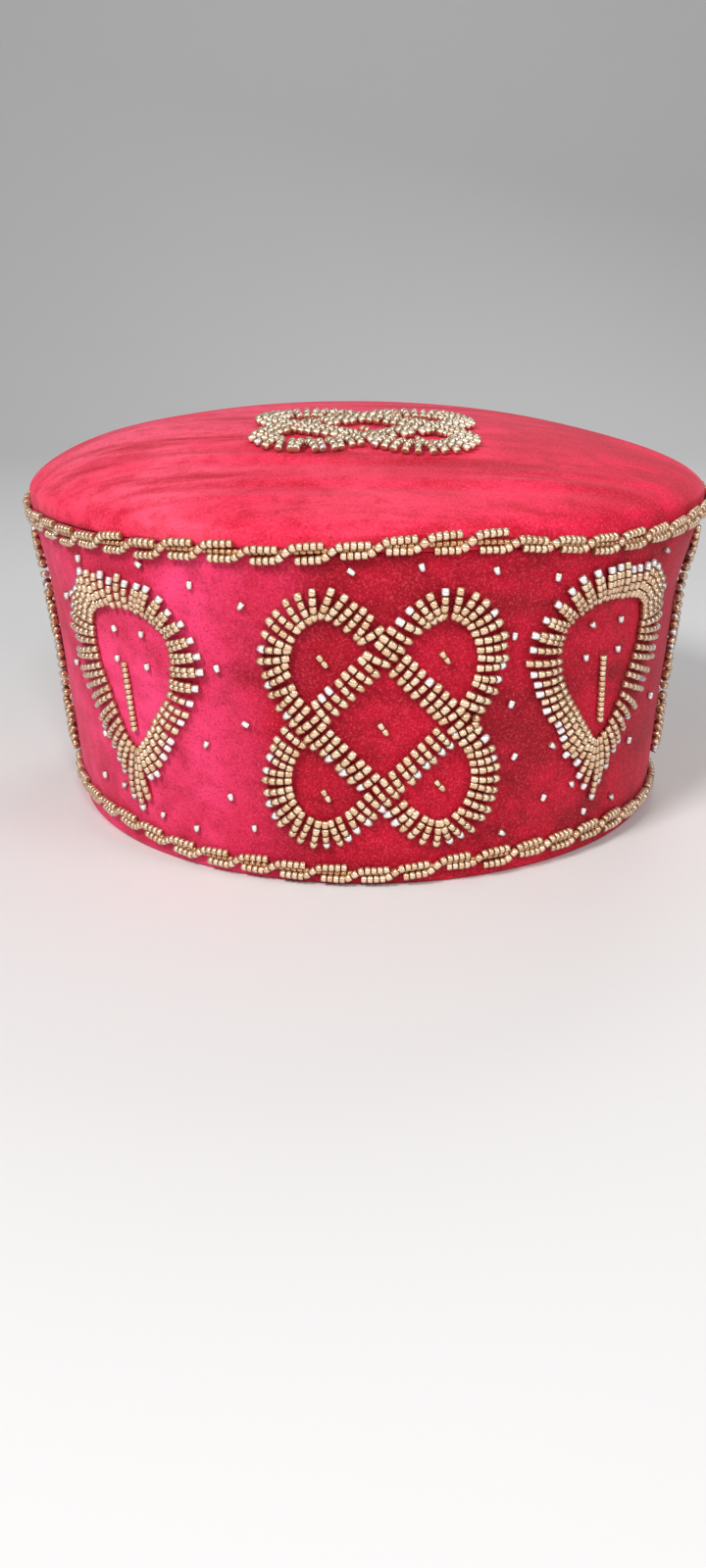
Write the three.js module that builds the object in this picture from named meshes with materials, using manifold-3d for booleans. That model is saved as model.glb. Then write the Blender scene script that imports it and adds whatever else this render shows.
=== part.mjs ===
// A stiff wedding cap of red velvet, worked with gold beads: a flared band, a domed crown,
// a rope border at the seam and one at the hem, five interlaced knots, and four pears that
// each hold a short vein. Bead work is modelled as raised bands that stand on the velvet.
// Millimetres, +Z up. The front of the cap looks towards -Y, and its hem rests on z = 0.

import * as THREE from 'three';
import { mergeVertices } from 'three/addons/utils/BufferGeometryUtils.js';
import Module from 'manifold-3d';

// Driving dimensions

const HEM_RADIUS = 95;
const SEAM_RADIUS = 107.3;
const BAND_HEIGHT = 96.7;
const WALL = 2.8;
const GAP = 0.3;

const CROWN_HEIGHT = 23.5;
const SHOULDER_HEIGHT = 4;
const DOME_FULLNESS = 2.3;
const DOME_ROUNDNESS = 0.62;

const ROPE_WIDTH = 5.4;
const ROPE_THICKNESS = 2.4;
const HEM_ROPE_HEIGHT = 5.6;

const KNOT_WIDTH = 57;
const KNOT_LENGTH = 67;
const KNOT_STRAND = 7.6;
const KNOT_THICKNESS = 3;
const CROWN_KNOT_WIDTH = 58;
const CROWN_KNOT_LENGTH = 42;
const CROWN_KNOT_FORWARD = 32;

const PEAR_WIDTH = 60;
const PEAR_LENGTH = 73;
const PEAR_THICKNESS = 2.8;

const VEIN_LENGTH = 21;
const VEIN_DIAMETER = 2;

// Middles of the motifs on the band: degrees from the front towards +X, and height as a
// share of BAND_HEIGHT. front is 1 where a pear's front side looks towards +X, else -1.
// A pear's vein stands aside towards that side by a share of VEIN_LENGTH, and its head
// leans that way by some degrees.
const KNOTS = [
  { name: 'knot_front', azimuth: 3, up: 0.52 },
  { name: 'knot_right', azimuth: 90, up: 0.53 },
  { name: 'knot_back', azimuth: 180, up: 0.53 },
  { name: 'knot_left', azimuth: -90, up: 0.53 },
];
const PEARS = [
  { name: 'front_left', azimuth: -40.4, up: 0.52, size: 0.94, front: 1, aside: 0.02, lean: 0 },
  { name: 'front_right', azimuth: 41.8, up: 0.55, size: 1.02, front: -1, aside: 0.09, lean: 10 },
  { name: 'back_right', azimuth: 138.5, up: 0.54, size: 1, front: 1, aside: 0.05, lean: 4 },
  { name: 'back_left', azimuth: -138.5, up: 0.54, size: 1, front: -1, aside: 0.05, lean: 4 },
];

// Facets of the turned and looped pieces

const TURN_STEPS = 72;
const DOME_STEPS = 6;
const KNOT_STEPS = 32;
const PEAR_STEPS = 46;
const ROPE_SIDES = 8;
const VEIN_SIDES = 8;
const VEIN_STEPS = 2;

// How far the velvet wall leaves a true cone: outward shares of HEM_RADIUS at each azimuth.
// The waist is the extra at WAIST_UP, a share of BAND_HEIGHT, where the stiff wall has sunk in.
const WAIST_UP = 0.75;
const WALL_FORM = [
  { azimuth: -180, hem: 0, waist: -0.01, seam: 0 },
  { azimuth: -125, hem: 0.002, waist: -0.012, seam: -0.008 },
  { azimuth: -78, hem: 0, waist: -0.017, seam: -0.019 },
  { azimuth: -30, hem: 0, waist: 0, seam: 0 },
  { azimuth: 25, hem: 0, waist: 0, seam: 0 },
  { azimuth: 78, hem: 0.02, waist: -0.038, seam: -0.004 },
  { azimuth: 130, hem: 0.008, waist: -0.014, seam: 0 },
];

// How far the crown sinks at each azimuth, as shares of CROWN_HEIGHT. It is low in front
// and highest behind its middle.
const CROWN_FORM = [
  { azimuth: -180, sink: -0.15 },
  { azimuth: -90, sink: -0.08 },
  { azimuth: 0, sink: 0.16 },
  { azimuth: 90, sink: 0.02 },
];

// How far each rope strays up from its line, as shares of ROPE_WIDTH
const TOP_ROPE_WAVE = [
  { azimuth: -180, rise: 0 },
  { azimuth: -50, rise: -0.44 },
  { azimuth: -22, rise: -0.15 },
  { azimuth: 14, rise: 0.42 },
  { azimuth: 41, rise: -0.28 },
  { azimuth: 68, rise: 0.15 },
];
const HEM_ROPE_WAVE = [
  { azimuth: -180, rise: 0 },
  { azimuth: -56, rise: 0.7 },
  { azimuth: -24, rise: -0.05 },
  { azimuth: 0, rise: -0.2 },
  { azimuth: 18, rise: 0.25 },
  { azimuth: 45, rise: 0.3 },
  { azimuth: 90, rise: 0 },
];

// Half of one knot loop from the upper crossing round a corner to the lower crossing:
// shares of the knot's half width and half length, and of the strand's width. The other
// half is the same, turned half a turn.
const KNOT_LOOP = [
  { across: 0, up: 0.62, width: 1 },
  { across: -0.25, up: 0.86, width: 1.05 },
  { across: -0.55, up: 1, width: 1.15 },
  { across: -0.86, up: 0.87, width: 1.2 },
  { across: -1, up: 0.56, width: 1.15 },
  { across: -0.92, up: 0.25, width: 1.05 },
  { across: -0.7, up: 0, width: 1.05 },
  { across: -0.35, up: -0.31, width: 1 },
];

// A pear's inner and outer outline at matching places, from the tip up the side that
// faces the nearest knot: shares of the pear's width and length. The bead rows lie along
// the line from each inner place to its outer one.
const PEAR_OUTLINE = [
  { innerAcross: -0.02, innerUp: -0.215, outerAcross: -0.045, outerUp: -0.495 },
  { innerAcross: 0.02, innerUp: -0.2, outerAcross: 0.065, outerUp: -0.36 },
  { innerAcross: 0.1, innerUp: -0.13, outerAcross: 0.21, outerUp: -0.235 },
  { innerAcross: 0.2, innerUp: -0.035, outerAcross: 0.315, outerUp: -0.115 },
  { innerAcross: 0.3, innerUp: 0.09, outerAcross: 0.44, outerUp: 0.045 },
  { innerAcross: 0.333, innerUp: 0.18, outerAcross: 0.512, outerUp: 0.19 },
  { innerAcross: 0.31, innerUp: 0.265, outerAcross: 0.467, outerUp: 0.32 },
  { innerAcross: 0.225, innerUp: 0.325, outerAcross: 0.345, outerUp: 0.43 },
  { innerAcross: 0.1, innerUp: 0.358, outerAcross: 0.185, outerUp: 0.48 },
  { innerAcross: -0.04, innerUp: 0.352, outerAcross: 0, outerUp: 0.495 },
  { innerAcross: -0.165, innerUp: 0.325, outerAcross: -0.2, outerUp: 0.48 },
  { innerAcross: -0.24, innerUp: 0.265, outerAcross: -0.36, outerUp: 0.39 },
  { innerAcross: -0.257, innerUp: 0.185, outerAcross: -0.408, outerUp: 0.235 },
  { innerAcross: -0.235, innerUp: 0.095, outerAcross: -0.385, outerUp: 0.085 },
  { innerAcross: -0.155, innerUp: -0.05, outerAcross: -0.29, outerUp: -0.085 },
  { innerAcross: -0.08, innerUp: -0.18, outerAcross: -0.17, outerUp: -0.26 },
];

// Sections of the raised bands: side from inner edge -1 to outer edge 1, lift from 0 to 1.
// The broad pear has a middle point below, so that it follows the curved wall.
const KNOT_SECTION = [
  { side: -1, lift: 0 },
  { side: 1, lift: 0 },
  { side: 0.62, lift: 1 },
  { side: -0.62, lift: 1 },
];
const PEAR_SECTION = [
  { side: -1, lift: 0 },
  { side: 0, lift: 0 },
  { side: 1, lift: 0 },
  { side: 0.7, lift: 1 },
  { side: -0.7, lift: 1 },
];

const DEGREE = Math.PI / 180;
const FLARE = Math.atan2(SEAM_RADIUS - HEM_RADIUS, BAND_HEIGHT);

const velvetBand = new THREE.MeshStandardMaterial({
  color: 0xb3122e,
  roughness: 0.9,
  metalness: 0,
});
const velvetCrown = new THREE.MeshStandardMaterial({
  color: 0xd8323f,
  roughness: 0.9,
  metalness: 0,
});
const goldBeads = new THREE.MeshStandardMaterial({
  color: 0xc9a35a,
  roughness: 0.25,
  metalness: 0.6,
});

// Value of one column of a table, smoothly blended between its rows round the whole turn
function roundTheTurn(table, column, azimuth) {
  const turn = ((((azimuth + 180) % 360) + 360) % 360) - 180;
  const rows = [...table, { ...table[0], azimuth: table[0].azimuth + 360 }];
  const next = rows.findIndex((row) => row.azimuth > turn);
  const low = rows[next - 1];
  const high = rows[next];
  const share = (turn - low.azimuth) / (high.azimuth - low.azimuth);
  const blend = (1 - Math.cos(Math.PI * share)) / 2;
  return low[column] + (high[column] - low[column]) * blend;
}

// Distance by which the wall stands outside the true cone
function wallOffset(azimuth, height) {
  const share = Math.min(Math.max(height / BAND_HEIGHT, 0), 1);
  const hem = roundTheTurn(WALL_FORM, 'hem', azimuth);
  const seam = roundTheTurn(WALL_FORM, 'seam', azimuth);
  const waist = roundTheTurn(WALL_FORM, 'waist', azimuth);
  const sunk = Math.min(share / WAIST_UP, (1 - share) / (1 - WAIST_UP));
  return HEM_RADIUS * (hem + (seam - hem) * share + waist * sunk);
}

function coneRadius(height) {
  return HEM_RADIUS + height * Math.tan(FLARE);
}

// Height that the crown loses at an azimuth and a share of the way from its middle to its rim
function crownSink(azimuth, share) {
  const bulge = 4 * share ** 2 * Math.max(1 - share ** 2, 0);
  return CROWN_HEIGHT * roundTheTurn(CROWN_FORM, 'sink', azimuth) * bulge;
}

// Height of the dome above its widest ring, at a share of the way from the middle
function domeHeight(share, rise) {
  return rise * Math.max(1 - share ** DOME_FULLNESS, 0) ** DOME_ROUNDNESS;
}

// A point on the outside of the wall, lifted square to it
function onWall(azimuth, height, lift) {
  const z = height - lift * Math.sin(FLARE);
  const radius = coneRadius(height) + wallOffset(azimuth, height) + lift * Math.cos(FLARE);
  const angle = azimuth * DEGREE;
  return new THREE.Vector3(radius * Math.sin(angle), -radius * Math.cos(angle), z);
}

// A point on the outside of the crown above x, y, lifted straight up
function onCrown(x, y, lift) {
  const share = Math.hypot(x, y) / SEAM_RADIUS;
  const azimuth = Math.atan2(x, -y) / DEGREE;
  const dome = domeHeight(share, CROWN_HEIGHT - SHOULDER_HEIGHT) - crownSink(azimuth, share);
  return new THREE.Vector3(x, y, BAND_HEIGHT + SHOULDER_HEIGHT + dome + lift);
}

// Turns a profile of [radius, height] pairs about Z, then moves each vertex with the wall
function turned(profile, move) {
  const points = profile.map(([radius, height]) => new THREE.Vector2(radius, height));
  const geometry = new THREE.LatheGeometry(points, TURN_STEPS);
  geometry.rotateX(Math.PI / 2);
  const position = geometry.getAttribute('position');
  for (let i = 0; i < position.count; i += 1) {
    const step = Math.floor(i / points.length) % TURN_STEPS;
    const azimuth = (360 * step) / TURN_STEPS;
    const { x: radius, y: height } = points[i % points.length];
    const moved = move(azimuth, radius, height);
    const angle = azimuth * DEGREE;
    position.setXYZ(
      i,
      moved.radius * Math.sin(angle),
      -moved.radius * Math.cos(angle),
      moved.height,
    );
  }
  geometry.computeVertexNormals();
  return geometry;
}

function withWall(azimuth, radius, height) {
  return { radius: radius + wallOffset(azimuth, height), height };
}

function withCrown(azimuth, radius, height) {
  const share = radius / SEAM_RADIUS;
  const rim = wallOffset(azimuth, BAND_HEIGHT) * share;
  const onDome = height > BAND_HEIGHT + SHOULDER_HEIGHT;
  const sink = onDome ? crownSink(azimuth, share) : 0;
  return { radius: radius + rim, height: height - sink };
}

function makeSideBand() {
  const outer = [0, WAIST_UP, 1].map((share) => {
    const height = BAND_HEIGHT * share;
    return [coneRadius(height), height];
  });
  const inner = outer.map(([radius, height]) => [radius - WALL, height]).reverse();
  return turned([...outer, ...inner, outer[0]], withWall);
}

function domeProfile(radius, base, rise) {
  const profile = [];
  for (let step = 0; step <= DOME_STEPS; step += 1) {
    const share = Math.sin((Math.PI / 2) * (1 - step / DOME_STEPS));
    profile.push([radius * share, base + domeHeight(share, rise)]);
  }
  return profile;
}

function makeCrown() {
  const foot = BAND_HEIGHT + GAP;
  const widest = BAND_HEIGHT + SHOULDER_HEIGHT;
  const rise = CROWN_HEIGHT - SHOULDER_HEIGHT;
  const outer = domeProfile(SEAM_RADIUS, widest, rise);
  const inner = domeProfile(SEAM_RADIUS - WALL, widest, rise - WALL).reverse();
  return turned([...inner, [SEAM_RADIUS - WALL, foot], [SEAM_RADIUS, foot], ...outer], withCrown);
}

// A rope border: a flat oval ring that lies on the wall and wanders about a height
function makeRope(line, wave) {
  const profile = [];
  for (let side = 0; side <= ROPE_SIDES; side += 1) {
    const angle = (2 * Math.PI * (side % ROPE_SIDES)) / ROPE_SIDES;
    const up = (ROPE_WIDTH / 2) * Math.sin(angle);
    const out = (ROPE_THICKNESS / 2) * (1 + Math.cos(angle)) + GAP / Math.cos(FLARE);
    profile.push([out, up]);
  }
  return turned(profile, (azimuth, out, up) => {
    const height = line + ROPE_WIDTH * roundTheTurn(wave, 'rise', azimuth) + up;
    return { radius: coneRadius(height) + wallOffset(azimuth, height) + out, height };
  });
}

// A raised band that closes on itself. outline(share, side) gives the flat place of an edge,
// and place(across, up, lift) lays it on the velvet. The lathe only supplies the faces of a
// closed ring, and every vertex is then moved to its place.
function raisedBand(openSection, steps, thickness, outline, place) {
  const section = [...openSection, openSection[0]];
  const ringRadius = 2;
  const ring = section.map(({ side, lift }) => new THREE.Vector2(ringRadius + side, lift));
  const geometry = new THREE.LatheGeometry(ring, steps);
  const position = geometry.getAttribute('position');
  for (let i = 0; i < position.count; i += 1) {
    const share = (Math.floor(i / section.length) % steps) / steps;
    const { side, lift } = section[i % section.length];
    const flat = outline(share, side);
    const point = place(flat.x, flat.y, GAP + lift * thickness);
    position.setXYZ(i, point.x, point.y, point.z);
  }
  geometry.computeVertexNormals();
  return geometry;
}

function closedCurve(rows) {
  const points = rows.map(([x, y, z = 0]) => new THREE.Vector3(x, y, z));
  return new THREE.CatmullRomCurve3(points, true, 'catmullrom', 0.5);
}

// The flat outline of one knot loop; mirror is 1 for the first loop and -1 for the second
function knotOutline(width, length, mirror) {
  const half = KNOT_LOOP.map((row) => [
    row.across * (width / 2) * mirror,
    row.up * (length / 2),
    row.width * KNOT_STRAND,
  ]);
  const otherHalf = half.map(([x, y, strand]) => [-x, -y, strand]);
  const curve = closedCurve([...half, ...otherHalf]);
  const nearby = 0.002;
  return (share, side) => {
    const at = curve.getPoint(share);
    const before = curve.getPoint((share + 1 - nearby) % 1);
    const after = curve.getPoint((share + nearby) % 1);
    const along = after.sub(before).setZ(0).normalize();
    const offset = (side * at.z) / 2;
    return new THREE.Vector2(at.x - mirror * along.y * offset, at.y + mirror * along.x * offset);
  };
}

const wasm = await Module();
wasm.setup();

function toSolid(geometry) {
  const bare = geometry.clone();
  bare.deleteAttribute('normal');
  bare.deleteAttribute('uv');
  const merged = mergeVertices(bare, 1e-4);
  return new wasm.Manifold(
    new wasm.Mesh({
      numProp: 3,
      vertProperties: new Float32Array(merged.getAttribute('position').array),
      triVerts: new Uint32Array(merged.getIndex().array),
    }),
  );
}

function toGeometry(solid) {
  const mesh = solid.getMesh();
  const geometry = new THREE.BufferGeometry();
  geometry.setAttribute('position', new THREE.BufferAttribute(mesh.vertProperties, 3));
  geometry.setIndex(new THREE.BufferAttribute(mesh.triVerts, 1));
  geometry.computeVertexNormals();
  return geometry;
}

// Two long loops that cross each other four times, joined into one solid
function makeKnot(width, length, place) {
  const [first, second] = [1, -1].map((mirror) => {
    const outline = knotOutline(width, length, mirror);
    const loop = raisedBand(KNOT_SECTION, KNOT_STEPS, KNOT_THICKNESS, outline, place);
    return toSolid(facingOut(loop));
  });
  return toGeometry(first.add(second));
}

// A pear with its tip down
function makePear(pear) {
  const inner = closedCurve(PEAR_OUTLINE.map((row) => [row.innerAcross, row.innerUp]));
  const outer = closedCurve(PEAR_OUTLINE.map((row) => [row.outerAcross, row.outerUp]));
  const outline = (share, side) => {
    const at = inner.getPoint(share).lerp(outer.getPoint(share), (side + 1) / 2);
    return new THREE.Vector2(at.x * PEAR_WIDTH * pear.size * pear.front, at.y * PEAR_LENGTH);
  };
  return raisedBand(PEAR_SECTION, PEAR_STEPS, PEAR_THICKNESS, outline, onBandAt(pear));
}

// Lays a flat motif on the band round its middle, at its true width at every height
function onBandAt(motif) {
  return (across, up, lift) => {
    const height = motif.up * BAND_HEIGHT + up;
    const azimuth = motif.azimuth + across / (coneRadius(height) * DEGREE);
    return onWall(azimuth, height, lift);
  };
}

function onCrownTop(across, up, lift) {
  return onCrown(across, up - CROWN_KNOT_FORWARD, lift);
}

// A straight string of beads near the middle of a pear
function makeVein(pear) {
  const place = onBandAt(pear);
  const lift = GAP + VEIN_DIAMETER / 2;
  const aside = VEIN_LENGTH * pear.aside;
  const lean = (VEIN_LENGTH / 2) * Math.sin(pear.lean * DEGREE);
  const reach = (VEIN_LENGTH / 2) * Math.cos(pear.lean * DEGREE);
  const foot = place(pear.front * (aside - lean), -reach, lift);
  const head = place(pear.front * (aside + lean), reach, lift);
  const circle = new THREE.Shape();
  circle.absarc(0, 0, VEIN_DIAMETER / 2, 0, 2 * Math.PI);
  return new THREE.ExtrudeGeometry(circle, {
    steps: VEIN_STEPS,
    curveSegments: VEIN_SIDES / 2,
    extrudePath: new THREE.LineCurve3(foot, head),
  });
}

// Faces are turned to point outwards where a mirrored outline left them pointing in
function facingOut(geometry) {
  const position = geometry.getAttribute('position');
  const index = geometry.getIndex();
  const [a, b, c] = [new THREE.Vector3(), new THREE.Vector3(), new THREE.Vector3()];
  const count = index ? index.count : position.count;
  const at = (i) => (index ? index.getX(i) : i);
  let volume = 0;
  for (let i = 0; i < count; i += 3) {
    a.fromBufferAttribute(position, at(i));
    b.fromBufferAttribute(position, at(i + 1));
    c.fromBufferAttribute(position, at(i + 2));
    volume += a.dot(b.cross(c));
  }
  if (volume < 0) {
    for (let i = 0; i < count; i += 3) {
      const first = index.getX(i);
      index.setX(i, index.getX(i + 2));
      index.setX(i + 2, first);
    }
    geometry.computeVertexNormals();
  }
  return geometry;
}

const cap = new THREE.Group();

function addPiece(name, geometry, material) {
  const piece = new THREE.Mesh(facingOut(geometry), material);
  piece.name = name;
  cap.add(piece);
}

addPiece('side_band', makeSideBand(), velvetBand);
addPiece('crown_top', makeCrown(), velvetCrown);
addPiece('top_rope', makeRope(BAND_HEIGHT, TOP_ROPE_WAVE), goldBeads);
addPiece('hem_rope', makeRope(HEM_ROPE_HEIGHT, HEM_ROPE_WAVE), goldBeads);

for (const knot of KNOTS) {
  addPiece(knot.name, makeKnot(KNOT_WIDTH, KNOT_LENGTH, onBandAt(knot)), goldBeads);
}
addPiece('crown_knot', makeKnot(CROWN_KNOT_WIDTH, CROWN_KNOT_LENGTH, onCrownTop), goldBeads);

for (const pear of PEARS) {
  addPiece(`pear_${pear.name}`, makePear(pear), goldBeads);
  addPiece(`vein_${pear.name}`, makeVein(pear), goldBeads);
}

export default cap;
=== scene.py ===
"""Looks of a wedding cap of red velvet worked with gold glass beads, built round its solids.

Lengths are in metres. The front of the cap looks towards -Y, and the hem rests on z = 0.
"""

import math

import bpy
import numpy as np
from bpy.props import FloatProperty, FloatVectorProperty, PointerProperty
from mathutils import Matrix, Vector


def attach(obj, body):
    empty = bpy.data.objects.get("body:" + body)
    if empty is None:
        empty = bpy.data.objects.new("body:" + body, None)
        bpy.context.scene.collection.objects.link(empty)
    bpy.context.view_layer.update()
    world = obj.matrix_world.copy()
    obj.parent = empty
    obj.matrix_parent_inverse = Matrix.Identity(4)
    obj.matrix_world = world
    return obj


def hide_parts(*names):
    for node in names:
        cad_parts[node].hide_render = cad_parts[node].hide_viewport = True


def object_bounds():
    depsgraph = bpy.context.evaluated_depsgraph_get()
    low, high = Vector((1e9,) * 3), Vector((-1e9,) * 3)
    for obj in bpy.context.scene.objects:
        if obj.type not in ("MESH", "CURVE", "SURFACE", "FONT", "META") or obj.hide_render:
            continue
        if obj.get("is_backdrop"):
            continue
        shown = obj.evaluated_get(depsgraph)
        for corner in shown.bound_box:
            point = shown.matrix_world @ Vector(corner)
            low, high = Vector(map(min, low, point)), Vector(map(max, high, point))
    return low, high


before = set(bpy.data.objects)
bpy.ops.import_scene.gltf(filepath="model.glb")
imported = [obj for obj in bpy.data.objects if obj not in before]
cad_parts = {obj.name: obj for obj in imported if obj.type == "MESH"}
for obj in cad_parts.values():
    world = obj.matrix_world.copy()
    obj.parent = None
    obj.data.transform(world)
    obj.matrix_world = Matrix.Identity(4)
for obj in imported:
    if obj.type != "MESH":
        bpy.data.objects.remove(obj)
CAD_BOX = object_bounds()

bl_info = {
    "name": "Wedding cap looks",
    "version": (1, 0, 0),
    "blender": (4, 5, 0),
    "location": "View3D > Sidebar > Wedding cap",
    "description": "Velvet, bead work, stage and camera for the wedding cap",
    "category": "Object",
}

# Sizes of the solids, as in the part's source

HEM_RADIUS = 0.095
SEAM_RADIUS = 0.1073
BAND_HEIGHT = 0.0967
WALL = 0.0028
CROWN_HEIGHT = 0.0235
SHOULDER_HEIGHT = 0.004
DOME_FULLNESS = 2.3
DOME_ROUNDNESS = 0.62
ROPE_WIDTH = 0.0054
HEM_ROPE_HEIGHT = 0.0056
KNOT_WIDTH = 0.057
KNOT_LENGTH = 0.067
KNOT_STRAND = 0.0076
CROWN_KNOT_WIDTH = 0.058
CROWN_KNOT_LENGTH = 0.042
CROWN_KNOT_FORWARD = 0.032
PEAR_WIDTH = 0.060
PEAR_LENGTH = 0.073
VEIN_LENGTH = 0.021

FLARE = math.atan2(SEAM_RADIUS - HEM_RADIUS, BAND_HEIGHT)

# Middles of the motifs on the band: azimuth in degrees, height as a share of BAND_HEIGHT
KNOTS = {
    "knot_front": (3, 0.52),
    "knot_right": (90, 0.53),
    "knot_back": (180, 0.53),
    "knot_left": (-90, 0.53),
}

# Azimuth, height, size across, the side that a pear turns to its nearest knot, and how far
# its vein stands aside towards that side (a share of VEIN_LENGTH) and leans that way
PEARS = {
    "front_left": (-40.4, 0.52, 0.94, 1, 0.02, 0),
    "front_right": (41.8, 0.55, 1.02, -1, 0.09, 10),
    "back_right": (138.5, 0.54, 1, 1, 0.05, 4),
    "back_left": (-138.5, 0.54, 1, -1, 0.05, 4),
}

# Height of the wall's waist as a share of BAND_HEIGHT, and the softness of its corner
WAIST_UP = 0.75
WAIST_SOFTNESS = 0.08

# Azimuth, and how far the hem, the waist and the seam leave a cone, as shares of HEM_RADIUS
WALL_FORM = np.array(
    [
        (-180, 0, -0.01, 0),
        (-125, 0.002, -0.012, -0.008),
        (-78, 0, -0.017, -0.019),
        (-30, 0, 0, 0),
        (25, 0, 0, 0),
        (78, 0.02, -0.038, -0.004),
        (130, 0.008, -0.014, 0),
    ]
)

# Azimuth, and how far the crown sinks there as a share of CROWN_HEIGHT
CROWN_FORM = np.array([(-180, -0.15), (-90, -0.08), (0, 0.16), (90, 0.02)])

# Azimuth, and how far a rope strays up from its line as a share of ROPE_WIDTH
TOP_ROPE_WAVE = np.array(
    [(-180, 0), (-50, -0.44), (-22, -0.15), (14, 0.42), (41, -0.28), (68, 0.15)]
)
HEM_ROPE_WAVE = np.array(
    [(-180, 0), (-56, 0.7), (-24, -0.05), (0, -0.2), (18, 0.25), (45, 0.3), (90, 0)]
)

# Half of one knot loop: across, up and strand width, as in the part's source
KNOT_LOOP = np.array(
    [
        (0, 0.62, 1),
        (-0.25, 0.86, 1.05),
        (-0.55, 1, 1.15),
        (-0.86, 0.87, 1.2),
        (-1, 0.56, 1.15),
        (-0.92, 0.25, 1.05),
        (-0.7, 0, 1.05),
        (-0.35, -0.31, 1),
    ]
)

# Inner and outer ends of a pear's bead rows, across and up as shares of its width and length,
# and the distance from row to row there in millimetres, first for the pears that look towards
# +X and then for those that look towards -X. The rows fan out at the top and stand steep at
# the tip. They follow the solid's outline to within 3 mm.
PEAR_ROWS = np.array(
    [
        (0.008, -0.215, -0.03, -0.48, 2.4, 2.4),
        (0.045, -0.19, 0.11, -0.33, 2.5, 2.5),
        (0.12, -0.12, 0.215, -0.225, 2.8, 2.5),
        (0.19, -0.045, 0.3, -0.12, 3.1, 2.6),
        (0.255, 0.02, 0.385, -0.025, 3.5, 2.7),
        (0.29, 0.065, 0.435, 0.04, 3.9, 2.8),
        (0.315, 0.115, 0.495, 0.115, 4.1, 2.9),
        (0.33, 0.175, 0.518, 0.19, 4.2, 3.1),
        (0.335, 0.23, 0.5, 0.27, 4.1, 3.6),
        (0.31, 0.29, 0.45, 0.345, 3.9, 4.1),
        (0.25, 0.325, 0.365, 0.425, 3.6, 4.2),
        (0.18, 0.352, 0.26, 0.478, 3.3, 3.9),
        (0.085, 0.363, 0.1, 0.492, 3.1, 3.3),
        (0.01, 0.36, 0.02, 0.496, 3, 2.9),
        (-0.04, 0.357, -0.055, 0.49, 2.8, 2.7),
        (-0.1, 0.348, -0.15, 0.485, 2.7, 2.6),
        (-0.16, 0.325, -0.29, 0.445, 2.7, 2.5),
        (-0.195, 0.295, -0.385, 0.365, 2.7, 2.5),
        (-0.21, 0.24, -0.43, 0.26, 2.7, 2.5),
        (-0.215, 0.175, -0.44, 0.15, 2.6, 2.7),
        (-0.19, 0.09, -0.415, 0.045, 2.6, 3.1),
        (-0.15, 0.012, -0.35, -0.065, 2.7, 3.4),
        (-0.11, -0.075, -0.26, -0.17, 2.8, 3.3),
        (-0.075, -0.14, -0.185, -0.26, 2.8, 2.9),
        (-0.045, -0.185, -0.125, -0.345, 2.6, 2.6),
    ]
)

# Shares of the way round between which the rows are doubled strings, for the pears that look
# towards +X and towards -X
PEAR_DOUBLED = {1: (0.22, 0.47), -1: (0.32, 0.5)}

# Two-bead stitches in a knot's four lobes and its middle: across and up as shares of the
# knot's half width and half length
KNOT_FILLINGS = np.array(
    [(-0.56, 0.53), (0.55, 0.55), (0.55, -0.56), (-0.53, -0.64), (0, -0.04)]
)

# Single beads in a pear: across and up as shares of its width and length
PEAR_FILLINGS = np.array([(-0.03, 0.27), (0.17, 0.275), (0.175, 0.147), (-0.045, 0.15)])

# Single beads on the front of the band: azimuth in degrees and height in metres
LOOSE_BEADS = np.array(
    [
        (-57.0, 0.0541), (-55.7, 0.0748), (-53.1, 0.0196), (-49.7, 0.0348), (-47.9, 0.0881),
        (-46.1, 0.0199), (-36.5, 0.0146), (-33.5, 0.0900), (-29.2, 0.0132), (-25.3, 0.0408),
        (-24.9, 0.0863), (-21.9, 0.0639), (-21.8, 0.0256), (-18.0, 0.0485), (-18.0, 0.0167),
        (-17.2, 0.0819), (-1.7, 0.0920), (7.7, 0.0931), (18.2, 0.0914), (22.0, 0.0733),
        (22.8, 0.0538), (23.8, 0.0140), (24.5, 0.0377), (28.0, 0.0882), (31.4, 0.0228),
        (31.6, 0.0390), (37.3, 0.0249), (41.7, 0.0142), (49.8, 0.0149), (52.7, 0.0896),
        (52.8, 0.0320), (60.3, 0.0427),
    ]
)

# The beads between these azimuths are repeated by these turns, clear of the back motifs
LOOSE_BETWEEN = (17, 25)
LOOSE_TURNS = (94, -138)

# Steps of the velvet surfaces
TURN_STEPS = 480
BAND_STEPS = 64
DOME_STEPS = 56
INNER_STEPS = 10

# Gap between the band's top and the crown's edge, in metres
SEAM_GAP = 0.00005

# Where along X the velvet turns from red to pink, a painted sheen of the light from the left,
# on the band and on the crown, how much weaker its marks are in the pink, and how far clouds
# in the nap move that border
BAND_PINK_EDGE = (0.022, -0.002)
BAND_PINK_CALM = 0.55
CROWN_PINK_EDGE = (0.12, -0.06)
CROWN_PINK_CALM = 0.0
PINK_STRAY = 0.08


# Shape of the velvet


def unit(vectors):
    """Vectors, one to a row, brought to a length of 1."""
    return vectors / np.linalg.norm(vectors, axis=1, keepdims=True)


def cone_radius(height):
    """Radius of the band's cone at a height."""
    return HEM_RADIUS + height * math.tan(FLARE)


def turned(radius, azimuth, up):
    """Points at a radius from the cap's middle line. Azimuth 0 is the front, 90 is +X."""
    turn = np.radians(azimuth)
    sides = (radius * np.sin(turn), -radius * np.cos(turn), up)
    return np.stack(np.broadcast_arrays(*sides), axis=-1)


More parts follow.
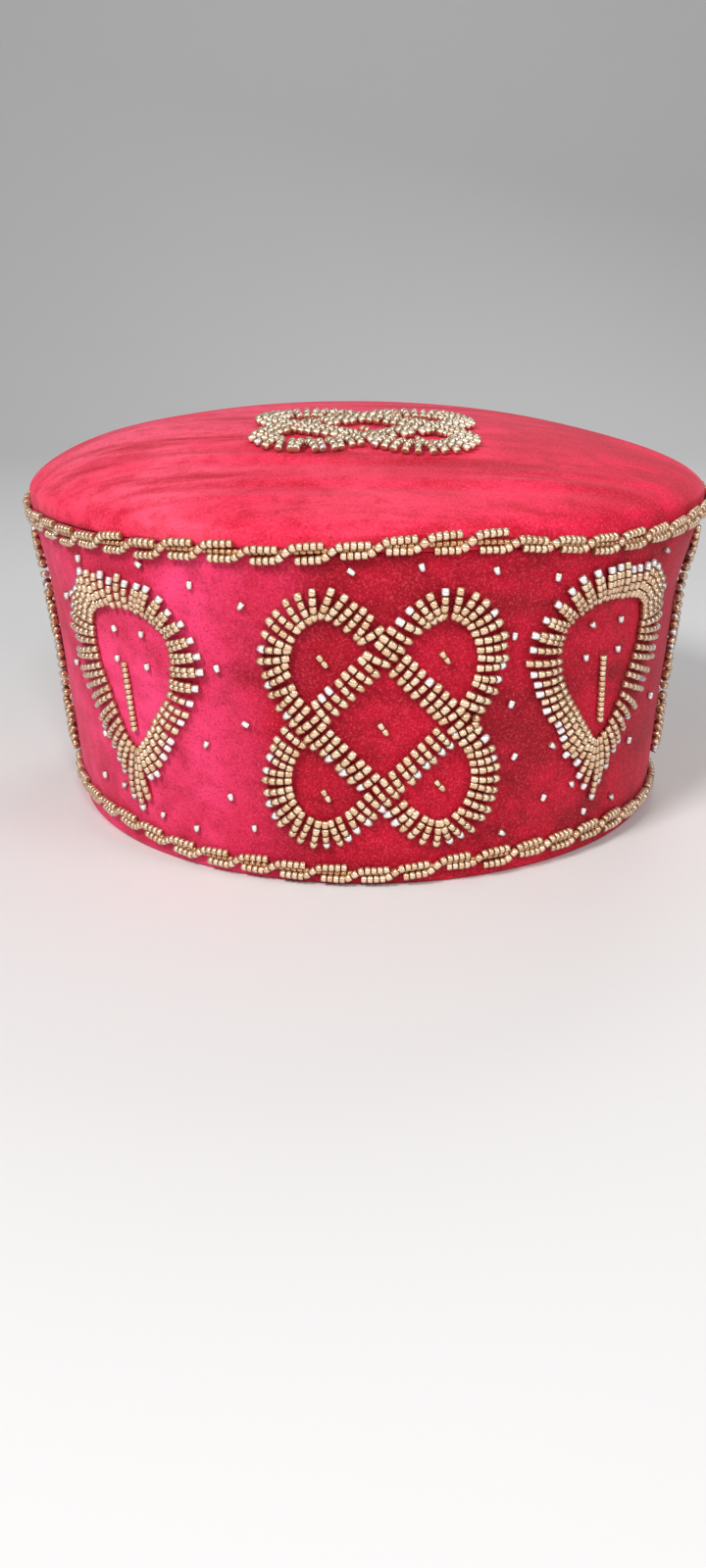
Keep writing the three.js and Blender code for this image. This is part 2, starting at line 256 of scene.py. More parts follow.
def round_the_turn(table, column, azimuth):
    """One column of a table at any azimuth, eased between neighbouring rows with half a
    cosine wave and joined round the whole turn."""
    keys = np.append(table[:, 0], table[0, 0] + 360)
    values = np.append(table[:, column], table[0, column])
    turn = (np.asarray(azimuth, float) + 180) % 360 - 180
    low = np.clip(np.searchsorted(keys, turn, side="right") - 1, 0, len(table) - 1)
    share = (turn - keys[low]) / (keys[low + 1] - keys[low])
    blend = (1 - np.cos(np.pi * share)) / 2
    return values[low] + (values[low + 1] - values[low]) * blend


def wall_offset(azimuth, height):
    """Distance of the wall from a true cone: the hem's share below, the seam's above, and
    the waist's between them. The waist falls off in a straight line to hem and seam, and
    its corner is rounded."""
    share = np.clip(np.asarray(height) / BAND_HEIGHT, 0, 1)
    hem, waist, seam = (round_the_turn(WALL_FORM, column, azimuth) for column in (1, 2, 3))
    straight = np.minimum(share / WAIST_UP, (1 - share) / (1 - WAIST_UP))
    sunk = 1 - np.sqrt((1 - straight) ** 2 + WAIST_SOFTNESS**2)
    return HEM_RADIUS * (hem + (seam - hem) * share + waist * sunk)


def wall_relief(azimuth, height):
    """Soft unevenness of the stretched cloth: three slow waves, none at hem and seam."""
    turn = np.radians(azimuth)
    share = np.clip(np.asarray(height) / BAND_HEIGHT, 0, 1)
    waves = (
        np.sin(7 * turn + 4.1 * share)
        + 0.6 * np.sin(13 * turn - 7.3 * share + 1.2)
        + 0.4 * np.sin(23 * turn + 11 * share + 2.7)
    )
    return 0.00016 * waves * np.sin(np.pi * share)


def on_wall(azimuth, height, lift):
    """Points over the band's outside: the cone's radius at a height, plus offset and
    relief, lifted square to the cone."""
    radius = cone_radius(height) + wall_offset(azimuth, height)
    radius = radius + wall_relief(azimuth, height) + lift * math.cos(FLARE)
    return turned(radius, azimuth, height - lift * math.sin(FLARE))


def dome_height(share, rise):
    """Height of the dome over its widest ring: rise times (1 - share to the power
    DOME_FULLNESS), to the power DOME_ROUNDNESS."""
    return rise * np.clip(1 - share**DOME_FULLNESS, 0, None) ** DOME_ROUNDNESS


def crown_sink(azimuth, share):
    """Height that the crown loses: most half way out, none at its middle and its rim."""
    bulge = 4 * share**2 * np.clip(1 - share**2, 0, None)
    return CROWN_HEIGHT * round_the_turn(CROWN_FORM, 1, azimuth) * bulge


# Creases of the crown: line, middle, reach along x, bow, depth and width, in metres
CROWN_CREASES = (
    (-0.058, -0.030, 0.040, 0.010, 0.0006, 0.0018),
    (-0.064, -0.010, 0.055, 0.012, -0.0006, 0.0024),
    (-0.076, 0.022, 0.050, 0.016, 0.0007, 0.0020),
    (-0.082, 0.004, 0.065, 0.018, -0.0006, 0.0026),
    (-0.068, 0.048, 0.030, 0.020, 0.0005, 0.0016),
    (-0.090, -0.030, 0.040, 0.022, 0.0004, 0.0018),
)


def crown_relief(x, y):
    """Creases of the cloth over the front of the crown: narrow ridges that cross it from
    side to side, each a bell curve of the distance from a slightly bowed line."""
    relief = np.zeros_like(x)
    for line, middle, reach, bow, depth, width in CROWN_CREASES:
        course = line + bow * (x / SEAM_RADIUS) ** 2
        along = np.exp(-(((x - middle) / reach) ** 4))
        relief = relief + depth * along * np.exp(-(((y - course) / width) ** 2))
    slow = np.sin(x / 0.013 + 0.7) * np.sin(y / 0.017 + 2.1)
    rim = np.clip(1 - (x**2 + y**2) / SEAM_RADIUS**2, 0, 1)
    return (relief + 0.00015 * slow) * np.clip(rim / 0.1, 0, 1)


def on_crown(x, y, lift):
    """Points over the crown's outside above x, y: widest ring, plus dome, less sink."""
    share = np.hypot(x, y) / SEAM_RADIUS
    azimuth = np.degrees(np.arctan2(x, -y))
    dome = dome_height(share, CROWN_HEIGHT - SHOULDER_HEIGHT) - crown_sink(azimuth, share)
    up = BAND_HEIGHT + SHOULDER_HEIGHT + dome + crown_relief(x, y) + lift
    return np.stack([x, y, up], axis=-1)


# Meshes


def new_object(name, data):
    """An object in the scene, at the origin."""
    item = bpy.data.objects.new(name, data)
    bpy.context.scene.collection.objects.link(item)
    return item


def mesh_piece(name, vertices, faces, material, attributes=None):
    """A smooth mesh from one array of vertices and a list of face arrays, with all faces
    of an array the same number of corners. It rides on the cap."""
    corners = np.concatenate([np.asarray(part).ravel() for part in faces])
    totals = np.concatenate([np.full(len(part), part.shape[1]) for part in faces])
    starts = np.concatenate([[0], np.cumsum(totals)[:-1]])
    mesh = bpy.data.meshes.new(name)
    mesh.vertices.add(len(vertices))
    mesh.vertices.foreach_set("co", np.asarray(vertices, np.float32).ravel())
    mesh.loops.add(len(corners))
    mesh.loops.foreach_set("vertex_index", corners.astype(np.int32))
    mesh.polygons.add(len(totals))
    mesh.polygons.foreach_set("loop_start", starts.astype(np.int32))
    mesh.polygons.foreach_set("loop_total", totals.astype(np.int32))
    mesh.polygons.foreach_set("use_smooth", np.ones(len(totals), bool))
    for key, values in (attributes or {}).items():
        attribute = mesh.attributes.new(key, "FLOAT", "POINT")
        attribute.data.foreach_set("value", np.asarray(values, np.float32).ravel())
    mesh.update(calc_edges=True)
    if mesh.validate():
        raise RuntimeError(f"{name} has a face that isn't valid")
    mesh.materials.append(material)
    piece = new_object(name, mesh)
    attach(piece, "root")
    return piece


def ring_faces(rings, steps, closed):
    """Quads between neighbouring rings of a grid that closes round the turn, and from the
    last ring to the first where the profile is closed."""
    ring, step = np.meshgrid(np.arange(rings - (not closed)), np.arange(steps), indexing="ij")
    above, beside = (ring + 1) % rings, (step + 1) % steps
    quad = [ring * steps + step, ring * steps + beside, above * steps + beside]
    return np.stack([*quad, above * steps + step], axis=-1).reshape(-1, 4)


def eased(count):
    """Shares from 0 to 1, closer together at both ends."""
    return (1 - np.cos(np.linspace(0, np.pi, count))) / 2


# Bead work

# Sides of a bead, and its rings: place along it from -1 to 1, and share of its radius
BEAD_SIDES = 8
BEAD_RINGS = np.array([(-1, 0.66), (-0.82, 0.95), (0, 1.0), (0.82, 0.95), (1, 0.66)])

# How near each ring is to an end of the bead, where its colour is darkened: painted shade
# between beads, partly the dark ring of the hole
BEAD_END_SHADING = np.array([1.0, 0.2, 0.0, 0.2, 1.0])

# Most beads have a random tint from 0 to 1, which leads from champagne towards amber. The
# last few thousandths are violet, a painted glint. Above 1 stand the tints of cream beads,
# painted light on the crown's knot, and of pale beads, and below 0 those of the dark
# strings in the ropes, partly painted shade in their hollow.
CREAM_TINT = 1.2
PALE_TINT = 2.0
HOLLOW_SHADE_TINTS = (-1, -0.5)

# Thickness of single beads, and of the last one of a row, as shares of the usual one
BEAD_SPREAD = (0.92, 1.08)
LAST_BEAD = 1.06

# Beads in rows: where in its place a bead starts and ends, and the height of its middle over
# the velvet as a share of its radius. Then the same for short stitches, where the first is
# half of the share of its place that a bead fills.
ROW_FILL = (0.04, 0.96)
ROW_SEAT = 0.96
STITCH_HALF = 0.46
STITCH_SEAT = 0.9

# Small beads: length and diameter as shares of the usual ones
SMALL_LENGTH = 0.9
SMALL_DIAMETER = 0.8

# How high bead rows bow up from the velvet, in metres
PEAR_ARCH = 0.0011
KNOT_ARCH = 0.001
CROWN_KNOT_ARCH = 0.0012
ROPE_ARCH = 0.00035

# Shares of the rows that end in a pale bead, and of the crown knot's beads that are cream,
# painted light falling on the crown's top
KNOT_PALE = 0.3
PEAR_PALE = 0.7
BOLD_PALE = 0.9
CROWN_KNOT_LIT_SHARE = 0.85

# A knot's rows: how far they lean in waves and at random, in degrees, how far they stray
# along the strand, in metres, and how far their outer halves reach. Beads of the lower
# strand are hidden up to KNOT_COVER, a share of KNOT_STRAND, from the upper one's middle.
KNOT_LEAN = 9
KNOT_LEAN_STRAY = 6
KNOT_ROW_STRAY = 0.0002
KNOT_ROW_REACH = (0.92, 1.06)
KNOT_COVER = 0.52

# A pear's rows: spread of their length, and stray of their outer and inner ends in metres
PEAR_ROW_REACH = (0.92, 1.08)
PEAR_OUTER_STRAY = 0.00045
PEAR_INNER_STRAY = 0.00012

# Doubled strings stand these shares of a bead's diameter from the middle of their row at its
# inner and outer end. They run to PAIR_END, and one bold bead goes on to BOLD_END.
PAIR_APART = (0.4, 0.22)
PAIR_END = 0.8
BOLD_END = 1.02

# Diameters in a pear's single rows and in its vein, as shares of the usual one
SINGLE_DIAMETER = 0.92
VEIN_DIAMETER = 0.95
VEIN_BEADS = 13

# A rope stitch, in steps from one stitch to the next: its length, where its climb starts,
# and the length of the climb. Its ends stray by shares of ROPE_WIDTH up or down, and by
# metres along the rope.
STITCH_LENGTH = 1.65
CLIMB_START = 0.57
CLIMB_LENGTH = 0.46
STITCH_STRAY_UP = 0.1
STITCH_STRAY_ALONG = 0.00025

# Rope beads: where in its place one starts and ends, the height of its middle over the velvet
# as a share of its diameter, the spread of its thickness, and the radius of the beads in the
# hollow, as a share of a rope bead's diameter
ROPE_FILL = (0.06, 0.94)
ROPE_SEAT = 0.48
ROPE_SPREAD = (0.94, 1.08)
HOLLOW_RADIUS = 0.34


def bead_piece(name, material, tails, heads, radii, tints):
    """Many beads in one mesh. Each is a short barrel turned about the line from its tail
    to its head: five rings whose radius falls off towards both ends, closed with two flat
    ends. A tint and the nearness to an end, where the material paints shade, are kept on
    its vertices for the material."""
    axis = heads - tails
    length = np.linalg.norm(axis, axis=1, keepdims=True)
    axis = axis / length
    steep = np.abs(axis[:, 2:3]) > 0.9
    helper = np.where(steep, np.array([[1.0, 0, 0]]), np.array([[0, 0, 1.0]]))
    first = unit(np.cross(axis, helper))
    second = np.cross(axis, first)
    turn = 2 * np.pi * np.arange(BEAD_SIDES) / BEAD_SIDES
    spoke = (
        first[:, None] * np.cos(turn)[None, :, None]
        + second[:, None] * np.sin(turn)[None, :, None]
    )
    middle = (tails + heads) / 2
    along = axis * length / 2
    vertices = (
        middle[:, None, None]
        + along[:, None, None] * BEAD_RINGS[None, :, None, 0:1]
        + spoke[:, None] * radii[:, None, None, None] * BEAD_RINGS[None, :, None, 1:2]
    )
    count, rings = len(tails), len(BEAD_RINGS)
    base = (np.arange(count) * rings * BEAD_SIDES)[:, None, None]
    sides = ring_faces(rings, BEAD_SIDES, closed=False)[None] + base
    foot = np.arange(BEAD_SIDES)[::-1]
    head = np.arange(BEAD_SIDES) + (rings - 1) * BEAD_SIDES
    ends = np.stack([foot, head])[None] + base
    shape = (count, rings, BEAD_SIDES)
    attributes = {
        "bead_tint": np.broadcast_to(tints[:, None, None], shape),
        "bead_end_shade": np.broadcast_to(BEAD_END_SHADING[None, :, None], shape),
    }
    faces = [sides.reshape(-1, 4), ends.reshape(-1, BEAD_SIDES)]
    return mesh_piece(name, vertices.reshape(-1, 3), faces, material, attributes)


def closed_curve(points, share):
    """A closed Catmull-Rom curve of tension one half through the points."""
    count = len(points)
    place = (np.asarray(share) % 1) * count
    low = np.floor(place).astype(int)
    t = (place - low)[:, None]
    before, start, end, after = (points[(low + step) % count] for step in (-1, 0, 1, 2))
    leave, arrive = (end - before) / 2, (after - start) / 2
    return (
        start
        + leave * t
        + (3 * (end - start) - 2 * leave - arrive) * t**2
        + (2 * (start - end) + leave + arrive) * t**3
    )


def row_shares(inner, outer, spacing, samples=2400):
    """Shares along two matching closed curves at which the rows between them stand apart
    by the spacing. The distance is measured half way out and square to the rows."""
    share = np.linspace(0, 1, samples + 1)
    inside, outside = closed_curve(inner, share), closed_curve(outer, share)
    row = unit(outside - inside)
    step = np.diff((inside + outside) / 2, axis=0)
    apart = np.abs(row[:-1, 0] * step[:, 1] - row[:-1, 1] * step[:, 0])
    local = closed_curve(np.asarray(spacing)[:, None], share[:-1])[:, 0]
    reach = np.append(0, np.cumsum(apart / local))
    rows = int(round(reach[-1]))
    return np.interp(np.arange(rows) / rows * reach[-1], reach, share)


class BeadForm:
    """Length and radius of a bead, how high its rows bow up from the velvet, and the share
    of rows that end in a pale bead."""

    def __init__(self, length, diameter, arch=0.0, pale=0.0):
        self.length = length
        self.radius = diameter / 2
        self.arch = arch
        self.pale = pale


def small_bead(settings, arch=0.0):
    """The small bead of short stitches and of doubled strings."""
    length, diameter = settings.bead_length * SMALL_LENGTH, settings.bead_diameter * SMALL_DIAMETER
    return BeadForm(length, diameter, arch)


def row_beads(inner, outer, place, bead, rng, span=(0, 1), least=2):
    """Rows of beads over a span of the way from inner to outer places. A row bows up from
    the velvet in half a sine wave. Its length is that of a shallow arch, the straight way
    times (1 + 8/3 of the square of arch over way), and is cut into equal beads. The last
    array is the flat place of each bead's middle."""
    chord = np.linalg.norm(outer - inner, axis=1)
    length = chord * (1 + 8 / 3 * (bead.arch / chord) ** 2) * (span[1] - span[0])
    counts = np.maximum(np.round(length / bead.length).astype(int), least)
    row = np.repeat(np.arange(len(counts)), counts)
    number = np.arange(len(row)) - np.repeat(np.cumsum(counts) - counts, counts)

    def along(part):
        share = span[0] + (number + part) / counts[row] * (span[1] - span[0])
        return share, inner[row] + (outer - inner)[row] * share[:, None]

    ends = []
    for part in ROW_FILL:
        share, flat = along(part)
        lift = bead.radius * ROW_SEAT + bead.arch * np.sin(np.pi * np.minimum(share, 1))
        ends.append(place(flat[:, 0], flat[:, 1], lift))
    last = number == counts[row] - 1
    radii = bead.radius * rng.uniform(*BEAD_SPREAD, len(row)) * np.where(last, LAST_BEAD, 1)
    tints = rng.uniform(0, 1, len(row))
    tints = np.where(last & (rng.uniform(0, 1, len(row)) < bead.pale), PALE_TINT, tints)
    return ends[0], ends[1], radii, tints, along(0.5)[1]


def joined(parts):
    """Beads from several sources as one set of arrays."""
    return [np.concatenate(column) for column in zip(*parts)]


def knot_loop(width, length, mirror):
    """Points of a knot loop: one half from the table, and the same turned half a turn."""
    half = KNOT_LOOP * (mirror * width / 2, length / 2, KNOT_STRAND)
    return np.concatenate([half, half * (-1, -1, 1)])


def knot_rows(width, length, place, bead, spacing, rng):
    """Bead rows across both loops of a knot. Each loop passes over the other at every
    second crossing, and the loop below leaves out the beads that the upper one covers."""
    loops = {mirror: knot_loop(width, length, mirror) for mirror in (1, -1)}
    lines = {mirror: closed_curve(loops[mirror], np.linspace(0, 1, 400)) for mirror in loops}
    parts = []
    for mirror, points in loops.items():
        samples = np.linspace(0, 1, 2401)
        path = closed_curve(points, samples)[:, :2]
        reach = np.append(0, np.cumsum(np.linalg.norm(np.diff(path, axis=0), axis=1)))
        rows = int(round(reach[-1] / spacing))
        share = np.interp(np.arange(rows) / rows * reach[-1], reach, samples)
        at = closed_curve(points, share)
        ahead, behind = (closed_curve(points, share + step) for step in (0.002, -0.002))
        along = unit((ahead - behind)[:, :2])
        outward = mirror * np.stack([along[:, 1], -along[:, 0]], axis=1)
        lean = KNOT_LEAN * np.sin(2 * np.pi * (3 * share + 0.3 * mirror))
        lean = np.radians(lean + rng.normal(0, KNOT_LEAN_STRAY, rows))[:, None]
        across = outward * np.cos(lean) + along * np.sin(lean)
        half = at[:, 2:3] / 2
        shift = along * rng.normal(0, KNOT_ROW_STRAY, (rows, 1))
        inner = at[:, :2] - across * half + shift
        outer = at[:, :2] + across * half * rng.uniform(*KNOT_ROW_REACH, (rows, 1)) + shift
        tails, heads, radii, tints, flat = row_beads(inner, outer, place, bead, rng)
        other = lines[-mirror][:, :2]
        gap = np.linalg.norm(flat[:, None] - other[None], axis=2).min(axis=1)
        upright = np.abs(flat[:, 1]) / length > np.abs(flat[:, 0]) / width
        below = upright if mirror == 1 else ~upright
        shown = ~(below & (gap < KNOT_STRAND * KNOT_COVER))
        parts.append([column[shown] for column in (tails, heads, radii, tints)])
    return joined(parts)


def short_stitches(flat, direction, beads_each, place, bead, rng):
    """Short stitches of a few beads in a line through the given flat places, each in its
    own direction, in degrees from across towards up."""
    place_of = np.repeat(np.arange(len(flat)), beads_each)
    number = np.tile(np.arange(beads_each), len(flat))
    turn = np.radians(direction[place_of])
    line = np.stack([np.cos(turn), np.sin(turn)], axis=1)
    middle = flat[place_of] + line * ((number - (beads_each - 1) / 2) * bead.length)[:, None]
    half = line * bead.length * STITCH_HALF
    ends = [middle - half, middle + half]
    tails, heads = (place(end[:, 0], end[:, 1], bead.radius * STITCH_SEAT) for end in ends)
    radii = bead.radius * rng.uniform(*BEAD_SPREAD, len(number))
    return [tails, heads, radii, rng.uniform(0, 1, len(number))]


def band_place(azimuth, up):
    """Lays flat places on the band round the middle of a motif, at their true width."""

    def place(across, height, lift):
        level = up * BAND_HEIGHT + height
        turn = azimuth + np.degrees(across / cone_radius(level))
        return on_wall(turn, level, lift)

    return place


def crown_place(across, up, lift):
    """Lays flat places on the crown round the middle of its knot."""
    return on_crown(across, up - CROWN_KNOT_FORWARD, lift)


def make_knot(name, width, length, place, settings, material, seed, arch=KNOT_ARCH, cream=0.0):
    """One knot: its bead rows, and a short stitch in each lobe and in its middle. The
    share cream of its row beads is cream, painted light falling on the knot."""
    rng = np.random.default_rng(seed)
    rows = BeadForm(settings.bead_length, settings.bead_diameter, arch, KNOT_PALE)
    small = small_bead(settings)
    body = knot_rows(width, length, place, rows, settings.row_spacing, rng)
    # Cream beads: painted light falling on the crown's knot
    body[3] = np.where(rng.uniform(0, 1, len(body[3])) < cream, CREAM_TINT, body[3])
    middles = KNOT_FILLINGS * (width / 2, length / 2)
    slant = rng.normal(-57, 7, len(middles))
    fillings = short_stitches(middles, slant, 2, place, small, rng)
    piece = bead_piece(f"beads_{name}", material, *joined([body, fillings]))
    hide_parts(name)


def make_pear(name, settings, material, seed):
    """One pear: rows from their inner to their outer ends, a few single beads inside, and
    a vein of one string of small beads. Some rows are two strings side by side that draw
    together and end in one bold bead."""
    azimuth, up, size, front, aside, lean = PEARS[name]
    rng = np.random.default_rng(seed)
    place = band_place(azimuth, up)
    scale = np.array([PEAR_WIDTH * size * front, PEAR_LENGTH])
    inner_line, outer_line = PEAR_ROWS[:, :2] * scale, PEAR_ROWS[:, 2:4] * scale
    share = row_shares(inner_line, outer_line, PEAR_ROWS[:, 4 if front > 0 else 5] / 1000)
    inner, outer = closed_curve(inner_line, share), closed_curve(outer_line, share)
    outer = inner + (outer - inner) * rng.uniform(*PEAR_ROW_REACH, (len(share), 1))
    outer = outer + rng.normal(0, PEAR_OUTER_STRAY, inner.shape)
    inner = inner + rng.normal(0, PEAR_INNER_STRAY, inner.shape)
    length, diameter = settings.bead_length, settings.bead_diameter
    single = BeadForm(length, diameter * SINGLE_DIAMETER, PEAR_ARCH, PEAR_PALE)
    paired = small_bead(settings, PEAR_ARCH)
    bold = BeadForm(length, diameter, PEAR_ARCH, BOLD_PALE)
    first, last = PEAR_DOUBLED[front]
    doubled = (share > first) & (share < last)
    parts = [row_beads(inner[~doubled], outer[~doubled], place, single, rng)]
    inner, outer = inner[doubled], outer[doubled]
    row = outer - inner
    beside = unit(np.stack([-row[:, 1], row[:, 0]], axis=1))
    for side in (-1, 1):
        start = inner + beside * side * diameter * PAIR_APART[0]
        end = outer + beside * side * diameter * PAIR_APART[1]
        parts.append(row_beads(start, end, place, paired, rng, (0, PAIR_END)))
    parts.append(row_beads(inner, outer, place, bold, rng, (PAIR_END, BOLD_END), 1))
    small = small_bead(settings)
    middles = PEAR_FILLINGS * scale
    fillings = short_stitches(middles, rng.normal(-75, 15, len(middles)), 1, place, small, rng)
    fillings[3] = np.full(len(middles), PALE_TINT)
    beads = joined([*(part[:4] for part in parts), fillings])
    piece = bead_piece(f"beads_pear_{name}", material, *beads)
    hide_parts(f"pear_{name}")

    bead = BeadForm(VEIN_LENGTH / VEIN_BEADS, diameter * VEIN_DIAMETER)
    middle = np.array([[front * aside * VEIN_LENGTH, 0.0]])
    upright = np.array([90.0 - front * lean])
    vein = short_stitches(middle, upright, VEIN_BEADS, place, bead, rng)
    piece = bead_piece(f"beads_vein_{name}", material, *vein)
    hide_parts(f"vein_{name}")


def make_rope(name, line, wave, settings, material, seed):
    """A rope border of slanting stitches. Each stitch runs along the lower edge, climbs
    and runs on along the upper edge, above the start of the next one. Its height is an
    eased step from lower to upper. A darker string fills the hollow between them, partly
    thread and beads seen there and partly painted shade."""
    rng = np.random.default_rng(seed)
    round_length = 2 * np.pi * cone_radius(line)
    stitches = int(round(round_length / settings.stitch_step))
    step = round_length / stitches
    length = step * STITCH_LENGTH
    beads = int(round(length / settings.rope_bead_length))
    stitch, number = (part.ravel() for part in np.meshgrid(np.arange(stitches), np.arange(beads)))
    edge = ROPE_WIDTH / 2 - settings.rope_bead_diameter / 2
    rise = rng.normal(0, STITCH_STRAY_UP, (2, stitches)) * ROPE_WIDTH
    start = rng.normal(0, STITCH_STRAY_ALONG, stitches)

    def place(share):
        reach = share * length
        climb = np.clip((reach - step * CLIMB_START) / (step * CLIMB_LENGTH), 0, 1)
        climb = climb * climb * (3 - 2 * climb)
        azimuth = 360 * (stitch * step + reach + start[stitch]) / round_length - 180
        stray = rise[0][stitch] * (1 - climb) * (1 - share) + rise[1][stitch] * climb * share
        height = line + ROPE_WIDTH * round_the_turn(wave, 1, azimuth)
        height = height + edge * (2 * climb - 1) + stray
        hump = ROPE_ARCH * np.sin(np.pi * share)
        return on_wall(azimuth, height, settings.rope_bead_diameter * ROPE_SEAT + hump)

    tails, heads = (place((number + part) / beads) for part in ROPE_FILL)
    radii = settings.rope_bead_diameter / 2 * rng.uniform(*ROPE_SPREAD, len(stitch))
    strings = [tails, heads, radii, rng.uniform(0, 1, len(stitch))]

    count = int(round(round_length / settings.rope_bead_length))
    azimuth = 360 * np.arange(count) / count - 180
    height = line + ROPE_WIDTH * round_the_turn(wave, 1, azimuth)
    half = 180 / count * 0.9
    radius = settings.rope_bead_diameter * HOLLOW_RADIUS
    # Darker beads in the hollow between stitches: partly thread and beads seen there, partly
    # painted shade
    filling = [
        on_wall(azimuth - half, height, radius),
        on_wall(azimuth + half, height, radius),
        np.full(count, radius),
        rng.uniform(*HOLLOW_SHADE_TINTS, count),
    ]
    piece = bead_piece(f"beads_{name}", material, *joined([strings, filling]))
    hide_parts(name)


def make_loose_beads(settings, material, seed):
    """The single beads scattered over the band. The front's places are repeated half a
    turn round, and a few of them between the side and back motifs."""
    rng = np.random.default_rng(seed)
    between = (LOOSE_BEADS[:, 0] > LOOSE_BETWEEN[0]) & (LOOSE_BEADS[:, 0] < LOOSE_BETWEEN[1])
    beads = [LOOSE_BEADS, LOOSE_BEADS + (180, 0)]
    beads += [LOOSE_BEADS[between] + (turn, 0) for turn in LOOSE_TURNS]
    azimuth, height = np.concatenate(beads).T
    bead = BeadForm(settings.bead_length, settings.bead_diameter * SMALL_DIAMETER)
    flat = np.stack([np.radians(azimuth) * cone_radius(height), height], axis=1)
    slant = rng.normal(100, 28, len(flat))
    beads = short_stitches(flat, slant, 1, band_place(0, 0), bead, rng)
    beads[3] = np.full(len(flat), PALE_TINT)
    bead_piece("beads_scattered", material, *beads)


# Materials


# A rare violet bead colour: a painted glint
VIOLET_GLINT = (0.35, 0.12, 0.6)
# Cream of the crown knot's beads: painted light falling on the crown's top
CREAM = (1.0, 0.86, 0.62)


def darker(colour, share):
    """A colour brought down to a share of its brightness."""
    return tuple(value * share for value in colour)


def set_sockets(node, values):
    """Sets values on a node's own sockets."""
    for socket, value in values.items():
        node.inputs[socket].default_value = value


def object_place(tree):
    """Places on the piece, in metres."""
    return tree.nodes.new("ShaderNodeTexCoord").outputs["Object"]


def attribute(tree, name):
    """A value kept on the vertices."""
    node = tree.nodes.new("ShaderNodeAttribute")
    node.attribute_name = name
    return node.outputs["Fac"]


def noise(tree, coordinates, scale, detail, roughness=0.5):
    """A cloudy pattern from 0 to 1, its scale counted to the metre."""
    node = tree.nodes.new("ShaderNodeTexNoise")
    set_sockets(node, {"Scale": scale, "Detail": detail, "Roughness": roughness})
    tree.links.new(coordinates, node.inputs["Vector"])
    return node.outputs["Fac"]


def rising(tree, source, low, high, most=1.0):
    """A share that goes from 0 where the source is low to most where it is high."""
    node = tree.nodes.new("ShaderNodeMapRange")
    tree.links.new(source, node.inputs["Value"])
    set_sockets(node, {"From Min": low, "From Max": high, "To Min": 0, "To Max": most})
    return node.outputs["Result"]


def bumped(tree, shader, height, strength, distance):
    """Bumps a surface by a pattern, over a distance in metres."""
    node = tree.nodes.new("ShaderNodeBump")
    set_sockets(node, {"Strength": strength, "Distance": distance})
    tree.links.new(height, node.inputs["Height"])
    tree.links.new(node.outputs["Normal"], shader.inputs["Normal"])


def blended(tree, share, first, second):
    """Mixes two colours, each a colour value or another node's output, by a node's
    output."""
    node = tree.nodes.new("ShaderNodeMix")
    node.data_type = "RGBA"
    tree.links.new(share, node.inputs[0])
    for socket, colour in ((6, first), (7, second)):
        if isinstance(colour, bpy.types.NodeSocket):
            tree.links.new(colour, node.inputs[socket])
        else:
            node.inputs[socket].default_value = (*colour, 1)
    return node.outputs[2]


def new_material(name):
    """A material with its node tree and its shader."""
    material = bpy.data.materials.new(name)
    material.use_nodes = True
    tree = material.node_tree
    return material, tree, tree.nodes["Principled BSDF"]


def velvet(name, deep, bright, pink, pink_edge, pink_calm, settings):
    """Velvet: a nap between a deep and a bright red, mottled and streaked crosswise. It
    turns to a nap between bright red and pink, a painted sheen of the light from the left,
    between the two places along X of pink_edge, and its marks are weaker there by the share
    pink_calm. It has grains of pile with painted glints, specks of painted shade among them,
    a fine bump and a soft sheen."""
    material, tree, shader = new_material(name)
    coordinates = object_place(tree)
    drawn = tree.nodes.new("ShaderNodeVectorMath")
    drawn.operation = "MULTIPLY"
    drawn.inputs[1].default_value = (0.2, 1, 1)
    tree.links.new(coordinates, drawn.inputs[0])
    clouds = noise(tree, coordinates, 26, 3, 0.55)
    streaks = noise(tree, drawn.outputs[0], 95, 3, 0.6)
    patches = noise(tree, coordinates, 210, 3, 0.65)
    pile = noise(tree, coordinates, 1500, 2, 0.7)
    split = tree.nodes.new("ShaderNodeSeparateXYZ")
    tree.links.new(coordinates, split.inputs[0])
    strayed = tree.nodes.new("ShaderNodeMath")
    strayed.operation = "MULTIPLY_ADD"
    tree.links.new(clouds, strayed.inputs[0])
    strayed.inputs[1].default_value = PINK_STRAY
    tree.links.new(split.outputs["X"], strayed.inputs[2])
    # Pink towards -X: a painted sheen of the light from the left
    side = rising(tree, strayed.outputs[0], *pink_edge)
    mottling = rising(tree, clouds, 0.6, 0.4, 0.7)
    high = blended(tree, mottling, pink, bright)
    low = blended(tree, mottling, bright, deep)
    plain = blended(tree, side, low, high)
    nap = blended(tree, rising(tree, streaks, 0.52, 0.34, settings.crush), plain, deep)
    nap = blended(tree, rising(tree, patches, 0.52, 0.3, settings.crush * 0.55), nap, deep)
    nap = blended(tree, rising(tree, side, 0, 1, pink_calm), nap, plain)
    # Painted glints on grains of the pile
    glint = tuple(min(1.0, value * 1.3 + 0.08) for value in bright)
    nap = blended(tree, rising(tree, pile, 0.52, 0.75, 0.6), nap, glint)
    # Specks of painted shade among the pile
    nap = blended(tree, rising(tree, pile, 0.46, 0.26, 0.6), nap, darker(deep, 0.45))
    tree.links.new(nap, shader.inputs["Base Color"])
    finish = {
        "Roughness": 0.75,
        "Specular IOR Level": 0.2,
        "Sheen Weight": settings.sheen,
        "Sheen Roughness": 0.4,
        "Sheen Tint": (1.0, 0.32, 0.42, 1),
    }
    set_sockets(shader, finish)
    bumped(tree, shader, pile, 0.5, 0.00025)
    return material


